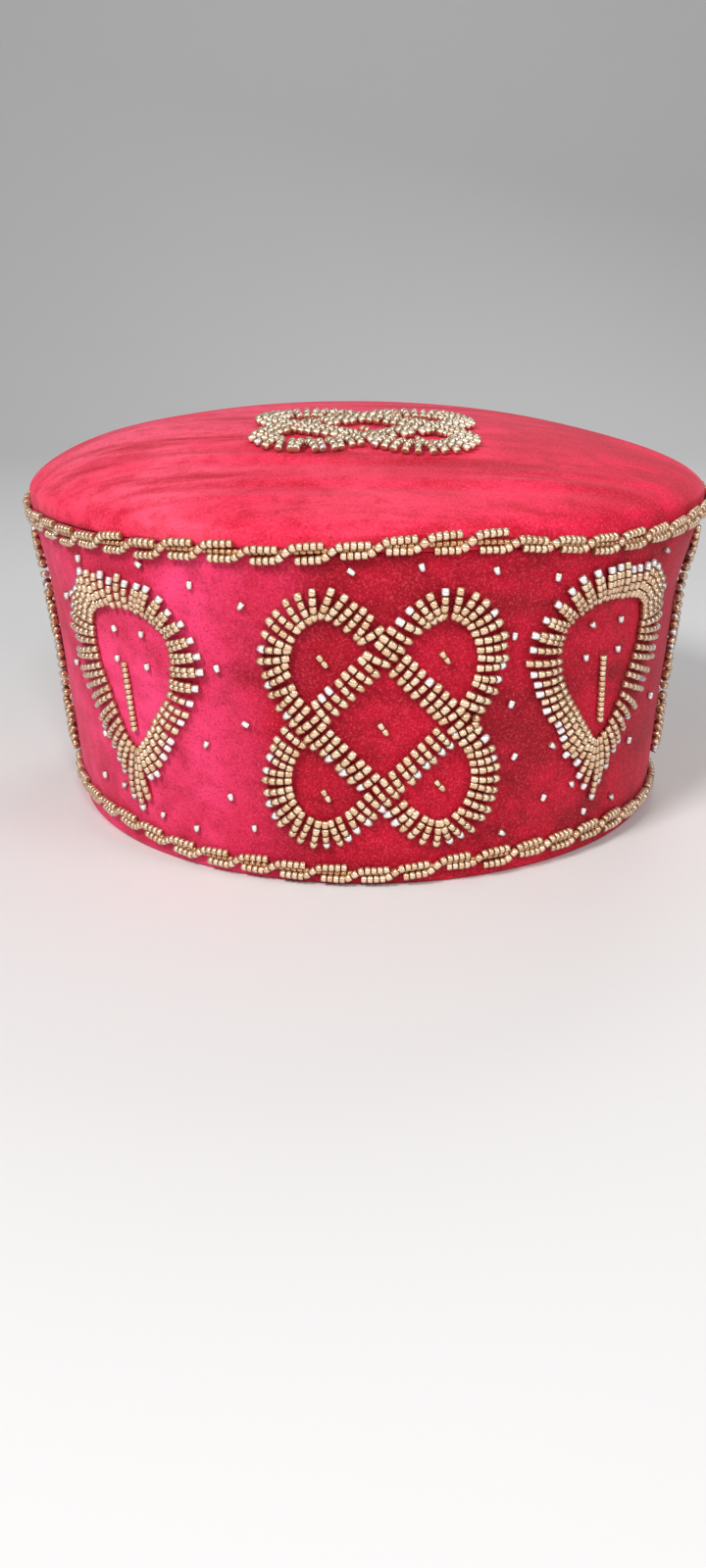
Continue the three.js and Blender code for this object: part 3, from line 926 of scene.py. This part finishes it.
def plain_cloth(name, colour):
    """The cloth inside the cap: dull, grained finely and worn in clouds."""
    material, tree, shader = new_material(name)
    coordinates = object_place(tree)
    grain = noise(tree, coordinates, 900, 2, 0.6)
    clouds = noise(tree, coordinates, 30, 3)
    shade = darker(colour, 0.6)
    worn = blended(tree, rising(tree, clouds, 0.35, 0.65), shade, colour)
    cloth = blended(tree, rising(tree, grain, 0.35, 0.65, 0.5), worn, shade)
    tree.links.new(cloth, shader.inputs["Base Color"])
    set_sockets(shader, {"Roughness": 0.95, "Specular IOR Level": 0.1})
    bumped(tree, shader, grain, 0.4, 0.0003)
    return material


def gold_glass(settings):
    """Silver-lined gold glass: bright champagne along the middle of a bead, a painted highlight
    of its lining, and dark amber at its edges, painted shade that is partly the glass's own
    amber, and at its ends, painted shade between beads that is partly the dark ring of the
    hole. Each bead is a little lighter or darker, with cream ones in the crown's knot as
    painted light from above, a few pale ones and a rare violet one as a painted glint. The
    strings with tints below 0 are amber, partly painted shade in the ropes' hollow."""
    found = bpy.data.materials.get("gold_glass")
    if found:
        return found
    material, tree, shader = new_material("gold_glass")
    tint, end = (attribute(tree, name) for name in ("bead_tint", "bead_end_shade"))
    amber = tuple(settings.amber)
    # Tints between which a colour comes in, the share of it that is reached, and the colour
    changes = (
        (0.2, 1, 0.6, amber),
        (0.996, 0.998, 1, VIOLET_GLINT),
        (1.05, 1.1, 1, CREAM),
        (1.4, 1.6, 1, tuple(settings.pale)),
        # Amber of the ropes' hollow beads, partly painted shade
        (-0.2, -0.6, 1, amber),
    )
    glass = tuple(settings.champagne)
    for low, high, most, colour in changes:
        glass = blended(tree, rising(tree, tint, low, high, most), glass, colour)
    # Facing darkens the colour towards the bead's outline as the eye sees it: painted shade,
    # partly the glass's own amber; the bright middle left over is a painted highlight
    rim = tree.nodes.new("ShaderNodeLayerWeight")
    rim.inputs["Blend"].default_value = 0.5
    dark = darker(amber, 0.4)
    glass = blended(tree, rising(tree, rim.outputs["Facing"], 0.2, 0.6, 0.9), glass, dark)
    # Darker towards each bead's ends: painted shade between beads, partly the dark ring of the
    # hole
    glass = blended(tree, rising(tree, end, 0.3, 1, 0.8), glass, dark)
    tree.links.new(glass, shader.inputs["Base Color"])
    finish = {
        "Metallic": 0.4,
        "Roughness": 0.22,
        "Coat Weight": 1.0,
        "Coat IOR": 1.8,
        "Coat Roughness": 0.09,
    }
    set_sockets(shader, finish)
    return material


# Settings


def colour_setting(name, description, default):
    """A colour that a user would change."""
    return FloatVectorProperty(
        name=name, description=description, subtype="COLOR", default=default, min=0, max=1
    )


def number_setting(name, description, default, low, high, subtype="NONE"):
    """A size, share or power that a user would change, with its limits."""
    return FloatProperty(
        name=name, description=description, subtype=subtype, default=default, min=low, max=high
    )


class CapVelvetSettings(bpy.types.PropertyGroup):
    band_deep: colour_setting(
        "Band, deep", "Red of the band where the nap lies away", (0.28, 0.001, 0.009)
    )
    band_bright: colour_setting(
        "Band, bright", "Red of the band where the nap lies towards the eye", (0.57, 0.003, 0.028)
    )
    # Pink of the band's left side: a painted sheen of the light from the left
    band_sheen_pink: colour_setting(
        "Band, pink", "Pinker red of the band's left side", (1.00, 0.060, 0.210)
    )
    # The crown's reds are lighter than the band's: painted light and sheen falling on the crown's
    # top
    crown_deep: colour_setting(
        "Crown, deep", "Red of the crown where the nap lies away", (0.50, 0.001, 0.016)
    )
    crown_bright: colour_setting(
        "Crown, bright",
        "Red of the crown where the nap lies towards the eye",
        (0.93, 0.004, 0.062),
    )
    # Pink of the crown's left side: a painted sheen of the light from the left
    crown_sheen_pink: colour_setting(
        "Crown, pink", "Pinker red of the crown's left side", (1.00, 0.120, 0.210)
    )
    inside: colour_setting("Inside", "Colour of the cloth inside the cap", (0.28, 0.015, 0.03))
    crush: number_setting(
        "Crush", "Strength of the small dark marks in the nap", 0.9, 0, 1, "FACTOR"
    )
    sheen: number_setting("Sheen", "Strength of the velvet's soft sheen", 0.28, 0, 1, "FACTOR")


class CapBeadSettings(bpy.types.PropertyGroup):
    bead_length: number_setting(
        "Bead length", "Length of a bead in the knots", 0.00235, 0.0015, 0.003, "DISTANCE"
    )
    bead_diameter: number_setting(
        "Bead diameter", "Diameter of a bead in the knots", 0.00215, 0.0012, 0.0026, "DISTANCE"
    )
    row_spacing: number_setting(
        "Row spacing",
        "Distance between rows of beads along a knot's strand",
        0.0029, 0.0015, 0.005, "DISTANCE",
    )
    rope_bead_length: number_setting(
        "Rope bead length",
        "Length of a bead in the rope borders",
        0.00175, 0.001, 0.003, "DISTANCE",
    )
    rope_bead_diameter: number_setting(
        "Rope bead diameter",
        "Diameter of a bead in the rope borders",
        0.0023, 0.0012, 0.0024, "DISTANCE",
    )
    stitch_step: number_setting(
        "Stitch step", "Distance from one rope stitch to the next", 0.0115, 0.006, 0.02, "DISTANCE"
    )
    champagne: colour_setting("Champagne", "Colour of the brightest glass", (0.97, 0.70, 0.46))
    amber: colour_setting(
        "Amber", "Colour of the darker glass and of bead ends", (0.68, 0.31, 0.11)
    )
    pale: colour_setting("Pale", "Colour of the few palest beads", (0.98, 0.93, 0.95))


class CapStageSettings(bpy.types.PropertyGroup):
    floor_colour: colour_setting(
        "Floor colour", "Colour of the floor and the backdrop", (0.80, 0.79, 0.78)
    )
    key_power: number_setting("Key light", "Power of the main light, in watts", 10.5, 0, 200)
    glint_power: number_setting(
        "Glint light", "Power of the small light over the camera, in watts", 2.6, 0, 200
    )
    fill_power: number_setting(
        "Fill light", "Power of the light from the other side, in watts", 2.6, 0, 200
    )
    sky_strength: number_setting(
        "Sky strength", "Strength of the even light from all round", 0.25, 0, 5
    )


# Stage, velvet pieces, and the operators that make everything


class CAP_OT_stage(bpy.types.Operator):
    """Makes the pale floor and backdrop, the soft lights, and the camera"""

    bl_idname = "wedding_cap.stage"
    bl_label = "Stage, lights and camera"

    def execute(self, context):
        settings = context.scene.cap_stage
        make_floor(settings)
        make_lights(settings)
        make_camera()
        context.scene.view_settings.view_transform = "Standard"
        return {"FINISHED"}


def make_floor(settings):
    """A floor that bends up into a backdrop: a flat run, a quarter circle and a wall,
    carried straight across."""
    near, far, bend, top, half = -2.5, 1.6, 0.7, 2.6, 3.5
    turn = np.linspace(0, np.pi / 2, 24)
    depth = np.concatenate([[near], far - bend + bend * np.sin(turn), [far]])
    height = np.concatenate([[0], bend - bend * np.cos(turn), [top]])
    across = np.linspace(-half, half, 9)
    grid = np.stack(np.broadcast_arrays(across[None, :], depth[:, None], height[:, None]), axis=-1)
    rows, columns = grid.shape[:2]
    corner = (np.arange(rows - 1)[:, None] * columns + np.arange(columns - 1)).ravel()
    quads = np.stack([corner, corner + 1, corner + columns + 1, corner + columns], axis=1)
    mesh = bpy.data.meshes.new("floor")
    mesh.from_pydata(grid.reshape(-1, 3).tolist(), [], quads.tolist())
    mesh.polygons.foreach_set("use_smooth", np.ones(len(quads), bool))
    material, tree, shader = new_material("pale_floor")
    clouds = noise(tree, object_place(tree), 3, 2)
    colour = tuple(settings.floor_colour)
    mixed = blended(tree, clouds, darker(colour, 0.97), colour)
    tree.links.new(mixed, shader.inputs["Base Color"])
    set_sockets(shader, {"Roughness": 0.7, "Specular IOR Level": 0.2})
    mesh.materials.append(material)
    floor = new_object("floor", mesh)
    floor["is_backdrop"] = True


def placed(right, up, back, place):
    """The matrix of a light or a camera: its three sides and its place."""
    matrix = np.eye(4)
    matrix[:3] = np.stack([right, up, back, place], axis=1)
    return Matrix(matrix.tolist())


def make_lights(settings):
    """Soft area lights aimed at the cap, and an even sky."""
    target = np.array([0, 0, 0.07])
    # Place and width in metres, and power in watts
    lights = {
        "key": ((-0.5, -0.8, 0.9), 0.32, settings.key_power),
        "glint": ((0.15, -0.95, 0.7), 0.14, settings.glint_power),
        "fill": ((0.8, -0.55, 0.5), 0.5, settings.fill_power),
        "back": ((0.3, 0.9, 0.9), 0.5, settings.fill_power),
    }
    for name, (place, size, power) in lights.items():
        data = bpy.data.lights.new(name, "AREA")
        data.shape = "DISK"
        data.size = size
        data.energy = power
        away = np.array(place) - target
        away = away / np.linalg.norm(away)
        right = np.cross((0, 0, 1), away)
        right = right / np.linalg.norm(right)
        light = new_object(name, data)
        light.matrix_world = placed(right, np.cross(away, right), away, place)
    world = bpy.data.worlds.new("soft_sky")
    world.use_nodes = True
    sky = world.node_tree.nodes["Background"]
    set_sockets(sky, {"Color": (0.92, 0.95, 1.0, 1), "Strength": settings.sky_strength})
    bpy.context.scene.world = world


# The camera: its place in metres, three angles, and its lens in millimetres
CAMERA_PLACE = (0, -0.4211, 0.1565)
CAMERA_PITCH = math.radians(21.09)
CAMERA_YAW = math.radians(-0.47)
CAMERA_ROLL = math.radians(0.12)
CAMERA_LENS = 29.25


def make_camera():
    """A camera at the photograph's angle: it looks down by the pitch, and is turned a
    little by the yaw and the roll."""
    ahead = np.array(
        [
            math.sin(CAMERA_YAW) * math.cos(CAMERA_PITCH),
            math.cos(CAMERA_YAW) * math.cos(CAMERA_PITCH),
            -math.sin(CAMERA_PITCH),
        ]
    )
    right = np.array([math.cos(CAMERA_YAW), -math.sin(CAMERA_YAW), 0])
    up = np.cross(right, ahead)
    turned_right = math.cos(CAMERA_ROLL) * right + math.sin(CAMERA_ROLL) * up
    turned_up = -math.sin(CAMERA_ROLL) * right + math.cos(CAMERA_ROLL) * up
    data = bpy.data.cameras.new("camera")
    data.lens = CAMERA_LENS
    data.sensor_width = 36
    data.clip_start = 0.01
    camera = new_object("camera", data)
    camera.matrix_world = placed(turned_right, turned_up, -ahead, CAMERA_PLACE)
    bpy.context.scene.camera = camera


class CAP_OT_band(bpy.types.Operator):
    """Makes the velvet side band round the wall's solid"""

    bl_idname = "wedding_cap.band"
    bl_label = "Side band"

    def execute(self, context):
        settings = context.scene.cap_velvet
        outer = velvet(
            "band_velvet",
            tuple(settings.band_deep),
            tuple(settings.band_bright),
            tuple(settings.band_sheen_pink),
            BAND_PINK_EDGE,
            BAND_PINK_CALM,
            settings,
        )
        make_band(outer, plain_cloth("band_inside", tuple(settings.inside)))
        return {"FINISHED"}


def make_band(outer_cloth, inner_cloth):
    """The band's closed wall on a grid of azimuth and profile. The profile goes up the
    outside, over a rounded top edge, down the inside and over a rounded hem."""
    azimuth = 360 * np.arange(TURN_STEPS) / TURN_STEPS
    edge = WALL / 2
    bend = np.linspace(0, np.pi, 7)[1:-1]
    outside = edge + (BAND_HEIGHT - 2 * edge) * eased(BAND_STEPS)
    inside = edge + (BAND_HEIGHT - 2 * edge) * eased(INNER_STEPS)[::-1]
    height = np.concatenate(
        [
            outside,
            BAND_HEIGHT - edge + edge * np.sin(bend),
            inside,
            edge - edge * np.sin(bend),
        ]
    )
    depth = np.concatenate(
        [
            np.zeros(BAND_STEPS),
            edge * (1 - np.cos(bend)),
            np.full(INNER_STEPS, WALL),
            edge * (1 + np.cos(bend)),
        ]
    )
    turn, up = np.meshgrid(azimuth, height)
    radius = cone_radius(up) + wall_offset(turn, up) - depth[:, None]
    radius = radius + wall_relief(turn, up) * (depth[:, None] == 0)
    grid = turned(radius, turn, up)
    faces = ring_faces(len(height), TURN_STEPS, closed=True)
    band = mesh_piece("velvet_band", grid.reshape(-1, 3), [faces], outer_cloth)
    band.data.materials.append(inner_cloth)
    first = (BAND_STEPS + len(bend)) * TURN_STEPS
    last = first + (INNER_STEPS - 1) * TURN_STEPS
    index = np.zeros(len(faces), np.int32)
    index[first:last] = 1
    band.data.polygons.foreach_set("material_index", index)
    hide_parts("side_band")


class CAP_OT_crown(bpy.types.Operator):
    """Makes the domed velvet crown round its solid"""

    bl_idname = "wedding_cap.crown"
    bl_label = "Crown"

    def execute(self, context):
        settings = context.scene.cap_velvet
        outer = velvet(
            "crown_velvet",
            tuple(settings.crown_deep),
            tuple(settings.crown_bright),
            tuple(settings.crown_sheen_pink),
            CROWN_PINK_EDGE,
            CROWN_PINK_CALM,
            settings,
        )
        make_crown(outer, plain_cloth("crown_inside", tuple(settings.inside)))
        return {"FINISHED"}


def make_crown(outer_cloth, inner_cloth):
    """The crown's closed shell on a grid of azimuth and profile. The profile runs from
    the top over the dome, down the short upright edge, round it, and back under the
    dome. Both poles are single vertices."""
    azimuth = 360 * np.arange(TURN_STEPS) / TURN_STEPS
    widest = BAND_HEIGHT + SHOULDER_HEIGHT
    foot = BAND_HEIGHT + SEAM_GAP
    rise = CROWN_HEIGHT - SHOULDER_HEIGHT
    outer_share = np.sin(np.linspace(0, np.pi / 2, DOME_STEPS + 1))[1:]
    inner_share = np.sin(np.linspace(0, np.pi / 2, INNER_STEPS + 1))[1:][::-1]
    neck = widest - (widest - foot) * np.array([0.35, 0.7, 1.0])
    # Each ring: radius, share of the way out, base height, and kind: 0 for the outside of the
    # dome, 1 for its inside, -1 for the edge
    rings = []
    for share in outer_share:
        rings.append((SEAM_RADIUS * share, share, widest, 0.0))
    for height in neck:
        rings.append((SEAM_RADIUS, 1.0, height, -1.0))
    for height in neck[::-1]:
        rings.append((SEAM_RADIUS - WALL, 1.0, height, -1.0))
    for share in inner_share:
        rings.append(((SEAM_RADIUS - WALL) * share, share, widest, 1.0))
    table = np.array(rings)
    radius = np.broadcast_to(table[:, 0:1], (len(rings), TURN_STEPS))
    share, base, kind = table[:, 1:2], table[:, 2:3], table[:, 3:4]
    rim = wall_offset(azimuth, BAND_HEIGHT)[None] * radius / SEAM_RADIUS
    radius = radius + rim
    angle = np.radians(azimuth)[None]
    x, y = radius * np.sin(angle), -radius * np.cos(angle)
    sink = crown_sink(azimuth[None], share)
    dome = dome_height(share, np.where(kind == 1, rise - WALL, rise))
    z = base + np.where(kind >= 0, dome - sink, 0)
    z = z + np.where(kind == 0, crown_relief(x, y), 0)
    grid = np.stack([x, y, z], axis=-1).reshape(-1, 3)
    top = [0, 0, widest + rise + float(crown_relief(np.zeros(1), np.zeros(1))[0])]
    under = [0, 0, widest + rise - WALL]
    vertices = np.concatenate([grid, [top, under]])
    body = ring_faces(len(rings), TURN_STEPS, closed=False)[:, ::-1]
    step = np.arange(TURN_STEPS)
    beside = (step + 1) % TURN_STEPS
    end = (len(rings) - 1) * TURN_STEPS
    cap = np.stack([np.full(TURN_STEPS, len(grid)), step, beside], axis=1)
    seat = np.stack([np.full(TURN_STEPS, len(grid) + 1), end + beside, end + step], axis=1)
    crown = mesh_piece("velvet_crown", vertices, [body, cap, seat], outer_cloth)
    crown.data.materials.append(inner_cloth)
    index = np.zeros(len(body) + 2 * TURN_STEPS, np.int32)
    index[(DOME_STEPS + len(neck)) * TURN_STEPS : len(body)] = 1
    index[-TURN_STEPS:] = 1
    crown.data.polygons.foreach_set("material_index", index)
    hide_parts("crown_top")


class CAP_OT_ropes(bpy.types.Operator):
    """Makes the bead rope borders at the seam and at the hem"""

    bl_idname = "wedding_cap.ropes"
    bl_label = "Rope borders"

    def execute(self, context):
        settings = context.scene.cap_beads
        glass = gold_glass(settings)
        make_rope("top_rope", BAND_HEIGHT, TOP_ROPE_WAVE, settings, glass, 11)
        make_rope("hem_rope", HEM_ROPE_HEIGHT, HEM_ROPE_WAVE, settings, glass, 12)
        return {"FINISHED"}


class CAP_OT_knots(bpy.types.Operator):
    """Makes the bead knots on the band and the one on the crown"""

    bl_idname = "wedding_cap.knots"
    bl_label = "Knots"

    def execute(self, context):
        settings = context.scene.cap_beads
        glass = gold_glass(settings)
        for seed, (name, (azimuth, up)) in enumerate(KNOTS.items(), start=21):
            place = band_place(azimuth, up)
            make_knot(name, KNOT_WIDTH, KNOT_LENGTH, place, settings, glass, seed)
        size = (CROWN_KNOT_WIDTH, CROWN_KNOT_LENGTH)
        style = (CROWN_KNOT_ARCH, CROWN_KNOT_LIT_SHARE)
        make_knot("crown_knot", *size, crown_place, settings, glass, 31, *style)
        return {"FINISHED"}


class CAP_OT_pears(bpy.types.Operator):
    """Makes the four bead pears with the vein inside each"""

    bl_idname = "wedding_cap.pears"
    bl_label = "Pears"

    def execute(self, context):
        settings = context.scene.cap_beads
        glass = gold_glass(settings)
        for seed, name in enumerate(PEARS, start=41):
            make_pear(name, settings, glass, seed)
        return {"FINISHED"}


class CAP_OT_loose_beads(bpy.types.Operator):
    """Makes the single beads scattered over the band"""

    bl_idname = "wedding_cap.loose_beads"
    bl_label = "Scattered beads"

    def execute(self, context):
        settings = context.scene.cap_beads
        make_loose_beads(settings, gold_glass(settings), 51)
        return {"FINISHED"}


class CAP_PT_panel(bpy.types.Panel):
    bl_label = "Wedding cap"
    bl_idname = "CAP_PT_panel"
    bl_space_type = "VIEW_3D"
    bl_region_type = "UI"
    bl_category = "Wedding cap"

    def draw(self, context):
        for group in (context.scene.cap_velvet, context.scene.cap_beads, context.scene.cap_stage):
            box = self.layout.box()
            for name in group.__annotations__:
                box.prop(group, name)
        for operator in OPERATORS:
            self.layout.operator(operator.bl_idname)


OPERATORS = (
    CAP_OT_stage,
    CAP_OT_band,
    CAP_OT_crown,
    CAP_OT_ropes,
    CAP_OT_knots,
    CAP_OT_pears,
    CAP_OT_loose_beads,
)
CLASSES = (CapVelvetSettings, CapBeadSettings, CapStageSettings, *OPERATORS, CAP_PT_panel)


def register():
    for item in CLASSES:
        bpy.utils.register_class(item)
    bpy.types.Scene.cap_velvet = PointerProperty(type=CapVelvetSettings)
    bpy.types.Scene.cap_beads = PointerProperty(type=CapBeadSettings)
    bpy.types.Scene.cap_stage = PointerProperty(type=CapStageSettings)


def unregister():
    del bpy.types.Scene.cap_stage
    del bpy.types.Scene.cap_beads
    del bpy.types.Scene.cap_velvet
    for item in reversed(CLASSES):
        bpy.utils.unregister_class(item)


def main():
    """Registers the add-on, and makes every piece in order."""
    register()
    bpy.ops.wedding_cap.stage()
    bpy.ops.wedding_cap.band()
    bpy.ops.wedding_cap.crown()
    bpy.ops.wedding_cap.ropes()
    bpy.ops.wedding_cap.knots()
    bpy.ops.wedding_cap.pears()
    bpy.ops.wedding_cap.loose_beads()
    boxes = {"cad_box": CAD_BOX, "visual_box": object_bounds()}
    plain = {name: [list(corner) for corner in box] for name, box in boxes.items()}


if __name__ == "__main__":
    main()
